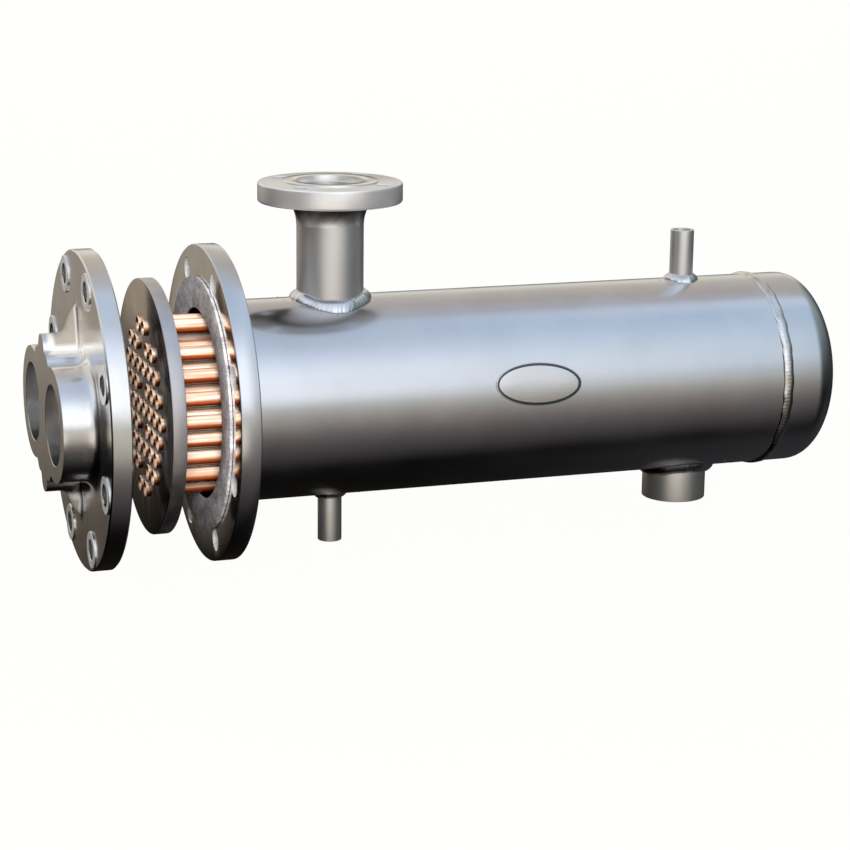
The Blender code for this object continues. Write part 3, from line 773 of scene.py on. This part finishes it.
def buildNamePlate():
    # flat rings first, drawn in towards the middle, then wrapped round the shell
    s = plateSettings
    bm = bmesh.new()
    start = bmesh.ops.create_circle(bm, cap_ends=False, radius=1, segments=s["around"])["verts"]
    loop = list({e for v in start for e in v.link_edges})
    long, tall, level = 1, 1, 0
    verts = start
    for k, (inset, height) in enumerate(s["rings"]):
        if k:
            verts, loop, faces = extrudeLoop(bm, loop, (0, 0, 0))
            for face in faces:
                face.material_index = int(inset in s["darkRings"])
        newLong, newTall = s["length"] / 2 - inset * mm, s["height"] / 2 - inset * mm
        bmesh.ops.scale(bm, vec=(newLong / long, newTall / tall, 1), verts=verts)
        bmesh.ops.translate(bm, vec=(0, 0, height * mm - level), verts=verts)
        long, tall, level = newLong, newTall, height * mm
    bmesh.ops.contextual_create(bm, geom=loop)
    bmesh.ops.recalc_face_normals(bm, faces=bm.faces)
    turned = Matrix.Rotation(math.radians(s["turn"]), 3, "Z")
    bmesh.ops.rotate(bm, cent=(0, 0, 0), matrix=turned, verts=bm.verts)
    station = middle("name_plate").x
    for vert in bm.verts:
        turn = math.radians(s["angle"]) + vert.co.y / shellRadius
        radius = shellRadius + vert.co.z
        vert.co = (station + vert.co.x, -radius * math.cos(turn), radius * math.sin(turn))
    finishPiece(makeObject(bm, "namePlate"), "shell", [plateSilver, plateRim], ["name_plate"])


spatterSettings = {"nearest": 3 * mm, "spread": 27 * mm, "smallest": 0.5 * mm, "growth": 0.6 * mm}
goldenTurn = math.pi * (3 - math.sqrt(5))
goldenShare = 0.618


def buildSpatter():
    # a few beads of weld spatter round each nozzle's foot, placed by a fixed spiral
    s = spatterSettings
    bm = bmesh.new()
    for name, nozzle in nozzles.items():
        for k in range(nozzle["spatter"]):
            clear = s["nearest"] + s["spread"] * (k * goldenShare % 1)
            reach = nozzle["outer"] + nozzle["bead"] + clear
            turn = goldenTurn * (k + 2)
            x, y = reach * math.cos(turn), reach * math.sin(turn)
            size = s["smallest"] + s["growth"] * (k * (1 - goldenShare) % 1)
            place = nozzlePlace(name) @ Matrix.Translation((x, y, saddle(y)))
            bmesh.ops.create_icosphere(bm, subdivisions=1, radius=size, matrix=place)
    finishPiece(makeObject(bm, "weldSpatter"), "shell", [weld], [], angle=180)


buildBarrel()
buildShellFlange()
buildHead()
buildSeam()
buildFlangeFillet()
for nozzleName in nozzles:
    buildPipe(nozzleName)
    buildNozzleWeld(nozzleName)
buildInletFlange()
buildInletNeck()
buildShellGasket()
buildNamePlate()
buildSpatter()
print("shell dressed")


# Tube bundle

tubeSettings = {
    "radius": 7.94 * mm, "wall": 1.2 * mm, "sides": 24, "bendSteps": 16, "swell": 0.7 * mm,
    "rolled": (1.2 * mm, 1.8 * mm), "endLength": 4 * mm,
}
tubeNodes = sorted(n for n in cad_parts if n.startswith("u_tube"))
tubeRoutes = {}
for tubeNode in tubeNodes:
    tubeLow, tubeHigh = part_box(tubeNode)
    bendRadius = (tubeHigh.y - tubeLow.y) / 2 - tubeSettings["radius"]
    tubeRoutes[tubeNode] = {
        "bend": bendRadius, "height": (tubeLow.z + tubeHigh.z) / 2, "start": tubeLow.x,
        "turn": tubeHigh.x - bendRadius - tubeSettings["radius"],
    }
tubeCentres = [(side * r["bend"], r["height"]) for r in tubeRoutes.values() for side in (-1, 1)]


def pushLeg(bm, loop, steps):
    rings = []
    for step in steps:
        verts, loop, _ = extrudeLoop(bm, loop, (step, 0, 0))
        rings.append(verts)
    return loop, rings


def buildTube(node):
    # one ring of points pushed down the first leg, spun round the bend and brought back
    s, route = tubeSettings, tubeRoutes[node]
    bend, height = route["bend"], route["height"]
    bm = bmesh.new()
    facing = Matrix.Translation((route["start"], -bend, height)) @ alongX
    ring = bmesh.ops.create_circle(bm, cap_ends=False, radius=s["radius"], segments=s["sides"],
                                   matrix=facing)["verts"]
    lip, collar = s["rolled"]
    straight = route["turn"] - route["start"] - lip - collar
    loop, out = pushLeg(bm, list({e for v in ring for e in v.link_edges}), (lip, collar, straight))
    ends = list({v for e in loop for v in e.verts})
    spun = bmesh.ops.spin(bm, geom=ends + loop, cent=(route["turn"], 0, height), axis=(0, 0, 1),
                          angle=math.pi, steps=s["bendSteps"])["geom_last"]
    loop = [g for g in spun if isinstance(g, bmesh.types.BMEdge)]
    _, back = pushLeg(bm, loop, (-straight, -collar, -lip))
    swollen = 1 + s["swell"] / s["radius"]
    for verts, y in ((out[0], -bend), (back[1], bend)):     # each end is swollen just behind its lip
        for vert in verts:
            vert.co.y = y + (vert.co.y - y) * swollen
            vert.co.z = height + (vert.co.z - height) * swollen
    bmesh.ops.remove_doubles(bm, verts=bm.verts, dist=joinWithin)
    bmesh.ops.recalc_face_normals(bm, faces=bm.faces)
    bmesh.ops.solidify(bm, geom=bm.faces[:], thickness=s["wall"])

    def rolledEnd(centre, normal):
        return int(centre.x < route["start"] + s["endLength"])
    finishPiece(makeObject(bm, node.replace("u_tube_", "uTube")), "tube_bundle",
                [tubeCopper, tubeEnd], [node], paintBy=rolledEnd)


sheetSettings = {"around": 160, "edge": 0.8 * mm, "holeSides": 28, "clearance": 0.1 * mm}
drillPast = 10 * mm


def tubeDrills(low, high, sides, clearance):
    drills = bmesh.new()
    radius = tubeSettings["radius"] + clearance
    for y, z in tubeCentres:
        place = Matrix.Translation(((low + high) / 2, y, z)) @ alongX
        bmesh.ops.create_cone(drills, cap_ends=True, segments=sides, radius1=radius, radius2=radius,
                              depth=high - low + drillPast, matrix=place)
    return drills


def buildTubeSheet():
    s = sheetSettings
    low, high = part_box("tube_sheet")
    bm = lathe(discProfile(high.z, low.x, high.x), s["around"], alongX, closed=False)
    soften(bm, s["edge"])
    made = makeObject(bm, "tubeSheet")
    carve(made, tubeDrills(low.x, high.x, s["holeSides"], s["clearance"]))

    def rim(centre, normal):
        return int(fromAxis(centre) > high.z - slack)
    finishPiece(made, "tube_bundle", [sheetFace, sheetRim], ["tube_sheet"], paintBy=rim)


baffleSettings = {"around": 96, "edge": 0.4 * mm, "holeSides": 20, "clearance": 0.25 * mm}


def buildBaffle(node):
    s = baffleSettings
    low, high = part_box(node)
    radius = (high.y - low.y) / 2
    cutUp = radius - high.z > slack         # the window is at the top or at the bottom
    bm = lathe(discProfile(radius, low.x, high.x), s["around"], alongX, closed=False)
    sliceOff(bm, (0, 0, high.z if cutUp else low.z), (0, 0, 1 if cutUp else -1))
    soften(bm, s["edge"], segments=2)
    made = makeObject(bm, node.replace("_", ""))
    carve(made, tubeDrills(low.x, high.x, s["holeSides"], s["clearance"]))
    finishPiece(made, "tube_bundle", [sheetRim], [node])


rodSettings = {
    "radius": 4.75 * mm, "around": 24, "tip": 1 * mm, "thread": 1.5 * mm, "threadDepth": 0.5 * mm,
    "threaded": 30 * mm,
}


def buildTieRod(node):
    s = rodSettings
    low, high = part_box(node)
    radius, top = s["radius"], high.x - s["tip"]
    points = [(0, high.x), (radius - s["tip"], high.x), (radius, top)]
    for k in range(round(s["threaded"] / s["thread"])):
        crest = top - k * s["thread"]
        points += [(radius - s["threadDepth"], crest - s["thread"] / 2), (radius, crest - s["thread"])]
    points += [(radius, low.x), (0, low.x)]
    place = alongAt([(middle(node).y, middle(node).z)])[0]
    made = makeObject(lathe(points, s["around"], place, closed=False), node.replace("tie_rod_", "tieRod"))
    finishPiece(made, "tube_bundle", [sheetRim], [node])


nutSettings = {
    "radius": 8.5 * mm, "bore": 4.9 * mm, "crown": 7.4 * mm, "crownWide": 9.2 * mm, "crownDrop": 1.1 * mm,
    "crownSides": 48,
}


def buildNut(node):
    s = nutSettings
    low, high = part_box(node)
    place = alongAt([(middle(node).y, middle(node).z)])[0]
    made = makeObject(lathe(ringProfile(s["radius"], s["bore"], low.x, high.x), 6, place),
                      node.replace("tie_rod_nut_", "tieRodNut"))
    # the corners are turned off at each face, as on a real nut
    points = [(0, high.x), (s["crown"], high.x), (s["crownWide"], high.x - s["crownDrop"]),
              (s["crownWide"], low.x + s["crownDrop"]), (s["crown"], low.x), (0, low.x)]
    carve(made, lathe(points, s["crownSides"], place, closed=False), "INTERSECT")
    finishPiece(made, "tube_bundle", [sheetRim], [node])


for tubeNode in tubeNodes:
    buildTube(tubeNode)
buildTubeSheet()
for nodeName in sorted(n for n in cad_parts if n.startswith("baffle")):
    buildBaffle(nodeName)
for nodeName in ("tie_rod_1", "tie_rod_2"):
    buildTieRod(nodeName)
for nodeName in ("tie_rod_nut_1", "tie_rod_nut_2"):
    buildNut(nodeName)
print("bundle dressed")


# Bonnet

bonnetSettings = {
    "voxel": 2.3 * mm, "smoothing": 22, "spare": 14 * mm, "skin": 6 * mm,
    "lobe": 61 * mm, "root": 7 * mm, "rootSink": 2 * mm, "web": 11 * mm, "webPlace": (25 * mm, 58 * mm),
    "barHalfWidth": 16 * mm, "barHalfHeight": 86 * mm, "tongue": (19 * mm, 14 * mm, 57 * mm),
    "tongueFoot": 57 * mm, "edge": 1.6 * mm, "shoulder": 12 * mm, "around": 192,
    "pad": 40 * mm, "padRaise": 1.8 * mm, "padEdge": 0.5 * mm, "padSides": 64, "holeChamfer": 0.8 * mm,
    "port": 85 * mm, "portOffset": 58.5 * mm, "portChamfer": 0.4 * mm, "portSides": 96,
    "chamberDepth": 12 * mm, "partition": 4 * mm, "past": 10 * mm,
}


def drum(bm, places, radius, low, high, sides=64, flare=0):
    for y, z in places:
        place = Matrix.Translation(((low + high) / 2, y, z)) @ alongX
        bmesh.ops.create_cone(bm, cap_ends=True, segments=sides, radius1=radius, radius2=radius + flare,
                              depth=high - low, matrix=place)


def chamberPair(low, high):
    # the two halves of a round pocket, with a wall left between them
    bm = bmesh.new()
    for side in (-1, 1):
        half = bmesh.new()
        drum(half, [(0, 0)], boreRadius, low, high, sides=96)
        sliceOff(half, (0, side * bonnetSettings["partition"], 0), (0, -side, 0))
        gather(bm, half, upright)
        half.free()
    return bm


def castBonnet(face, front, inside, back):
    # rough casting: overlapping bodies melted together, so that every inside corner gets a fillet
    s = bonnetSettings
    bm = bmesh.new()
    drum(bm, [(0, 0)], flangeRadius + s["spare"], front, back + s["spare"], sides=128)
    skin = face - s["skin"]         # metal left on for the cut that flattens the face
    lobes = [(-s["portOffset"], 0), (s["portOffset"], 0)]
    drum(bm, lobes, s["lobe"], skin, inside, sides=96)
    drum(bm, lobes, s["lobe"], front - s["root"], front + s["rootSink"], sides=96,
         flare=s["root"] + s["rootSink"])
    webY, webZ = s["webPlace"]
    drum(bm, [(y, z) for y in (-webY, webY) for z in (-webZ, webZ)], s["web"], skin, inside, sides=32)
    barEnd = s["barHalfHeight"] - s["barHalfWidth"]
    drum(bm, [(0, -barEnd), (0, barEnd)], s["barHalfWidth"], skin, inside)
    bar = bmesh.ops.create_cube(bm, size=1)["verts"]
    bmesh.ops.scale(bm, vec=(inside - skin, 2 * s["barHalfWidth"], 2 * barEnd), verts=bar)
    bmesh.ops.translate(bm, vec=((inside + skin) / 2, 0, 0), verts=bar)
    for side in (-1, 1):            # a rounded tongue from each end of the bar to the flange
        place = Matrix.Translation((front, 0, side * s["tongueFoot"])) @ Matrix.Diagonal((*s["tongue"], 1))
        bmesh.ops.create_uvsphere(bm, u_segments=48, v_segments=32, radius=1, matrix=place)
    bmesh.ops.recalc_face_normals(bm, faces=bm.faces)
    made = makeObject(bm, "bonnetCasting")
    melt = made.modifiers.new("melt", "REMESH")
    melt.mode = "VOXEL"
    melt.voxel_size = s["voxel"]
    ease = made.modifiers.new("ease", "SMOOTH")
    ease.factor = 0.5
    ease.iterations = s["smoothing"]
    applyModifiers(made)
    return made


def buildBonnet():
    s = bonnetSettings
    low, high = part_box("bonnet_casting")
    face, back = low.x, high.x
    front = back - bonnetThickness
    inside = front + bonnetThickness / 2
    made = castBonnet(face, front, inside, back)

    # turned to size, then drilled and faced
    edge, neck = s["edge"], flangeRadius - s["shoulder"]
    outline = [(0, back), (flangeRadius - edge, back), (flangeRadius, back - edge),
               (flangeRadius, front + edge), (neck, front + edge - s["shoulder"]), (neck, face), (0, face)]
    carve(made, lathe(outline, s["around"], alongX, closed=False), "INTERSECT", "MANIFOLD")
    top, wide = front - s["padRaise"], s["pad"] / 2
    points = [(0, inside), (wide, inside), (wide, top + s["padEdge"]), (wide - s["padEdge"], top), (0, top)]
    pad = lathe(points, s["padSides"], upright, closed=False)
    carveEach(made, pad, alongAt(bolts), "UNION", "MANIFOLD")
    drill = chamferedHole(boltHole / 2, top, back, s["holeChamfer"])
    carveEach(made, drill, alongAt(bolts), solver="MANIFOLD")
    port = chamferedHole(s["port"] / 2, face, back, s["portChamfer"], s["portSides"])
    carveEach(made, port, alongAt([(side * s["portOffset"], 0) for side in (-1, 1)]), solver="MANIFOLD")
    carve(made, chamberPair(back - s["chamberDepth"], back + s["past"]), solver="MANIFOLD")

    def machined(centre, normal):
        return int(nearest(centre, bolts) < wide and centre.x < front and normal.x < -0.95)
    finishPiece(made, "bonnet", [casting, spotFace], ["bonnet_casting"], paintBy=machined)


def buildBonnetGasket():
    low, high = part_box("bonnet_gasket")
    bm = lathe(discProfile(high.z, low.x, high.x), gasketSettings["around"], alongX, closed=False)
    made = makeObject(bm, "bonnetGasket")
    past = bonnetSettings["past"]
    carve(made, chamberPair(low.x - past, high.x + past))
    finishPiece(made, "bonnet", [gasketFibre], ["bonnet_gasket"])


buildBonnet()
buildBonnetGasket()
print("bonnet dressed")


# Camera, floor and light

cameraSettings = {
    "place": (-0.9270, -2.4659, 0.5897), "yaw": 19.18, "pitch": 13.608, "roll": 0.651,
    "lens": 101.72, "sensor": 36, "clipEnd": 200,
}


def placeCamera():
    s = cameraSettings
    yaw, pitch, roll = (math.radians(s[k]) for k in ("yaw", "pitch", "roll"))
    ahead = Vector((math.sin(yaw) * math.cos(pitch), math.cos(yaw) * math.cos(pitch), -math.sin(pitch)))
    right = Vector((math.cos(yaw), -math.sin(yaw), 0))
    up = right.cross(ahead)
    tiltedRight = right * math.cos(roll) + up * math.sin(roll)
    tiltedUp = up * math.cos(roll) - right * math.sin(roll)
    data = bpy.data.cameras.new("photoCamera")
    data.lens = s["lens"]
    data.sensor_width = s["sensor"]
    data.clip_end = s["clipEnd"]
    camera = bpy.data.objects.new("photoCamera", data)
    turned = Matrix((tiltedRight, tiltedUp, -ahead)).transposed().to_4x4()
    camera.matrix_world = Matrix.Translation(s["place"]) @ turned
    bpy.context.scene.collection.objects.link(camera)
    bpy.context.scene.camera = camera


floorSettings = {"drop": 0.34, "size": 120, "base": "#1c1c1c", "colour": "#fdfdfb", "glow": 0.97}


def layFloor():
    # pale floor well below the cooler, kept out of the reflections so that the metal shows the studio
    s = floorSettings
    bm = bmesh.new()
    bmesh.ops.create_grid(bm, x_segments=8, y_segments=8, size=s["size"] / 2)
    bmesh.ops.translate(bm, vec=(0, 0, -s["drop"]), verts=bm.verts)
    floor = makeObject(bm, "paleFloor")
    material, _, shader, _ = startMaterial("paleFloor", 0.0, 0.9)
    setInputs(shader, {"Base Color": hexColour(s["base"]), "Emission Color": hexColour(s["colour"]),
                       "Emission Strength": s["glow"]})
    floor.data.materials.append(material)
    floor.visible_glossy = False
    floor.visible_diffuse = False


skySettings = {
    "strength": 1.0, "backdrop": "#fdfdfc", "lean": -0.04,
    # each wall from straight down to straight up
    "front": [(0.0, "#0b0b0c"), (1.0, "#bccce2"), (0.09, "#454142"), (0.17, "#5a5556"), (0.26, "#766d6a"),
              (0.36, "#938d88"), (0.45, "#b2b1a8"), (0.54, "#dcdcde"), (0.63, "#f6f8ff"), (0.78, "#eff6ff"),
              (0.9, "#dce8fb")],
    "back": [(0.0, "#0a0908"), (1.0, "#bdc6d6"), (0.3, "#1c1916"), (0.42, "#453e37"), (0.51, "#665b51"),
             (0.6, "#f3efe7"), (0.73, "#cdc7b9"), (0.88, "#bdb5b1")],
    "left": [(0.0, "#060505"), (1.0, "#c5cddc"), (0.33, "#151311"), (0.362, "#4a443d"), (0.388, "#867d73"),
             (0.41, "#a0978b"), (0.48, "#a09a90"), (0.54, "#efe9dd"), (0.7, "#ece7dd")],
    "right": [(0.0, "#040404"), (1.0, "#bccce2"), (0.35, "#1b1c1c"), (0.5, "#404343"), (0.65, "#757b7b"),
              (0.8, "#9ba5a6"), (0.94, "#b0bcc4")],
    # where each part of the surround takes over: the direction it is measured along, then from and to
    "shares": {
        "tilt": [("x", 0.3, 0.5)], "leftWall": [("x", 0.2, -0.25)], "rightWall": [("x", 0.53, 0.7)],
        "ground": [("north", -0.88, -0.5)], "overhead": [("y", 0.12, 0.3)], "sky": [("z", -0.04, 0.1)],
        "lowLeft": [("east", -0.5, -0.8), ("z", 0.6, 0.2)],
        "card": [("east", -1.0, -0.4), ("east", 0.3, 0.0), ("z", -0.55, -0.3), ("z", 0.02, -0.1),
                 ("north", 0.0, -0.5)],
        "window": [("x", 0.37, 0.18), ("x", -0.3, -0.05), ("z", 0.0, 0.16), ("z", 0.95, 0.6),
                   ("y", 0.1, -0.1)],
        "corner": [("x", 0.33, 0.46), ("z", -0.2, -0.5), ("y", -0.4, 0.1)],
        "rightShade": [("x", 0.34, 0.46), ("z", 0.0, 0.15), ("y", 0.1, -0.1)],
    },
    # a shadow low at the left, a warm card low in front, more sky ahead of the open end, a grey corner behind
    # and a slightly cooler front at the right
    "patches": {"lowLeft": ("MULTIPLY", "#4b4843"), "card": ("MIX", "#f0e8dd"), "window": ("ADD", "#a3a7ae"),
                "corner": ("ADD", "#2c2c2f"), "rightShade": ("MULTIPLY", "#dee9f1")},
}


def lightStudio():
    # one wide soft surround: cool light above, a bright front that falls away to black, warm walls behind
    s = skySettings
    world = bpy.data.worlds.new("softStudio")
    bpy.context.scene.world = world
    world.use_nodes = True
    add = partial(addNode, world.node_tree)
    aim = add("SeparateXYZ", {"Vector": add("TexCoord").outputs["Generated"]}).outputs
    level = add("CombineXYZ", {"X": aim["X"], "Y": aim["Y"]})
    compass = add("VectorMath", {0: level}, operation="NORMALIZE")
    bearing = add("SeparateXYZ", {"Vector": compass}).outputs
    axes = {"x": aim["X"], "y": aim["Y"], "z": aim["Z"], "east": bearing["X"], "north": bearing["Y"]}
    shares = {name: softZone(add, [(axes[axis], start, end) for axis, start, end in edges])
              for name, edges in s["shares"].items()}
    height = add("MapRange", {0: aim["Z"], 1: -1.0, 2: 1.0})
    tilted = add("Math", {0: shares["tilt"], 1: s["lean"], 2: height}, operation="MULTIPLY_ADD")
    front = add("ValToRGB", {"Fac": tilted}, s["front"])
    back, left, right = (add("ValToRGB", {"Fac": height}, s[name]) for name in ("back", "left", "right"))
    rear = add("Mix", {"Factor": shares["leftWall"], "A": back, "B": left}, data_type="RGBA")
    behind = add("Mix", {"Factor": shares["sky"], "A": shares["ground"], "B": shares["overhead"]})
    lit = add("Mix", {"Factor": behind, "A": front, "B": rear}, data_type="RGBA")
    lit = add("Mix", {"Factor": shares["rightWall"], "A": lit, "B": right}, data_type="RGBA")
    for name, (manner, colour) in s["patches"].items():
        lit = add("Mix", {"Factor": shares[name], "A": lit, "B": hexColour(colour)},
                      data_type="RGBA", blend_type=manner)
    seen = add("LightPath").outputs["Is Camera Ray"]
    shown = add("Mix", {"Factor": seen, "A": lit, "B": hexColour(s["backdrop"])}, data_type="RGBA")
    setInputs(world.node_tree.nodes["Background"], {"Color": shown, "Strength": s["strength"]})
    bpy.context.scene.view_settings.view_transform = "Standard"


lampSettings = {"place": (-0.8, -2.6, 1.1), "aim": (-0.35, 0.0, 0.0), "size": 1.0, "watts": 370}


def hangLamp():
    # a soft lamp in front for what isn't all metal: copper, fibre, the inlet flange and the brushed tongues
    s = lampSettings
    data = bpy.data.lights.new("softLamp", "AREA")
    data.size = s["size"]
    data.energy = s["watts"]
    lamp = bpy.data.objects.new("softLamp", data)
    toward = Vector(s["aim"]) - Vector(s["place"])
    lamp.matrix_world = Matrix.Translation(s["place"]) @ toward.to_track_quat("-Z", "Y").to_matrix().to_4x4()
    lamp.visible_glossy = False
    bpy.context.scene.collection.objects.link(lamp)


placeCamera()
layFloor()
lightStudio()
hangLamp()
print("camera, floor and light set")
